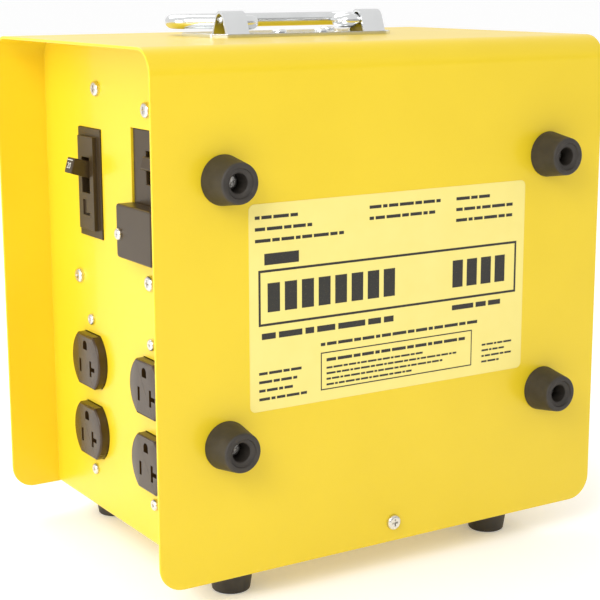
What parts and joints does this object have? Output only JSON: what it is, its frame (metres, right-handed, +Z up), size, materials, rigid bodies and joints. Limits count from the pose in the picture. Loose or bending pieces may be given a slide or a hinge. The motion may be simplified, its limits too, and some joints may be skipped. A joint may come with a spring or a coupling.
{
  "type": "portable power distribution box",
  "caption": "Folded steel power box with recessed receptacles and breakers, a flip-lid inlet, rubber feet and a folding carry handle.",
  "frame": {"origin": "centre of the bounding box's base, on the surface that the four base feet stand on", "axes": "+X right as seen from the face with the rating label, +Y to the back, +Z up"},
  "size_m": [0.2666, 0.2022, 0.2833],
  "materials": {
    "yellow_steel": "glossy powder coat",
    "label_film": "satin printed film",
    "black_rubber": "matt",
    "brown_nylon": "polished moulding",
    "black_phenolic": "fine matt moulding",
    "zinc_plate": "bright zinc plating",
    "screw_steel": "nickel plating",
    "brass": "plain",
    "galvanised": "dull zinc plating",
    "inlet_nylon": "moulded nylon",
    "black_wire": "extruded",
    "red_wire": "extruded",
    "white_wire": "extruded",
    "green_wire": "extruded",
    "red_button": "polished moulding"
  },
  "bodies": {
    "box": {"base_foot_front_left": "black_rubber", "base_foot_front_right": "black_rubber", "base_foot_rear_left": "black_rubber", "base_foot_rear_right": "black_rubber", "black_wires": "black_wire", "branch_breaker_bracket": "galvanised", "branch_breaker_case": "black_phenolic", "breaker_screws": "screw_steel", "bumper_screws": "screw_steel", "chassis": "yellow_steel", "cover_clip_nuts": "galvanised", "cover_screws": "screw_steel", "duplex_screws": "screw_steel", "foot_nuts": "screw_steel", "foot_screws": "screw_steel", "front_bumper_lower_left": "black_rubber", "front_bumper_lower_right": "black_rubber", "front_bumper_upper_left": "black_rubber", "front_bumper_upper_right": "black_rubber", "front_duplex_body": "brown_nylon", "front_duplex_terminals": "brass", "front_duplex_yoke": "galvanised", "green_wires": "green_wire", "ground_bar": "brass", "ground_bar_screws": "screw_steel", "handle_plate": "zinc_plate", "handle_rivets": "zinc_plate", "inlet_blades": "brass", "inlet_body": "inlet_nylon", "inlet_flange": "inlet_nylon", "inlet_gasket": "black_rubber", "inlet_hinge_pin": "screw_steel", "inlet_lid_spring": "screw_steel", "inlet_screws": "screw_steel", "main_breaker_bracket": "galvanised", "main_breaker_case": "black_phenolic", "neutral_bar": "brass", "neutral_bar_screws": "screw_steel", "neutral_standoffs": "brown_nylon", "outer_cover": "yellow_steel", "rating_label": "label_film", "rear_duplex_body": "brown_nylon", "rear_duplex_terminals": "brass", "rear_duplex_yoke": "galvanised", "red_wires": "red_wire", "terminal_cover": "black_phenolic", "terminal_cover_screw": "screw_steel", "test_button_spring": "screw_steel", "white_wires": "white_wire"},
    "bail": {"handle_bail": "zinc_plate"},
    "branch_toggle": {"branch_breaker_toggle": "black_phenolic"},
    "main_lever": {"main_breaker_handle": "black_phenolic"},
    "button": {"test_button": "red_button"},
    "lid": {"inlet_lid": "inlet_nylon"}
  },
  "joints": [
    {"name": "bail_fold", "type": "hinge", "parent": "box", "child": "bail", "pos_m": [0, 0.0029, 0.2772], "axis": [1, 0, 0], "range_deg": [0, 180]},
    {"name": "branch_toggle_throw", "type": "hinge", "parent": "box", "child": "branch_toggle", "pos_m": [-0.09785, 0.0399, 0.1995], "axis": [0, -1, 0], "range_deg": [0, 32]},
    {"name": "main_lever_throw", "type": "hinge", "parent": "box", "child": "main_lever", "pos_m": [-0.09785, -0.0306, 0.2093], "axis": [0, -1, 0], "range_deg": [0, 32]},
    {"name": "test_button_press", "type": "slide", "parent": "box", "child": "button", "axis": [1, 0, 0], "range_m": [0, 0.0012], "stiffness_N_per_m": 900},
    {"name": "inlet_lid_flip", "type": "hinge", "parent": "box", "child": "lid", "pos_m": [0.12225, 0.0069, 0.1635], "axis": [0, -1, 0], "range_deg": [0, 110], "stiffness_Nm_per_rad": 0.05, "springref_deg": -20.05}
  ]
}
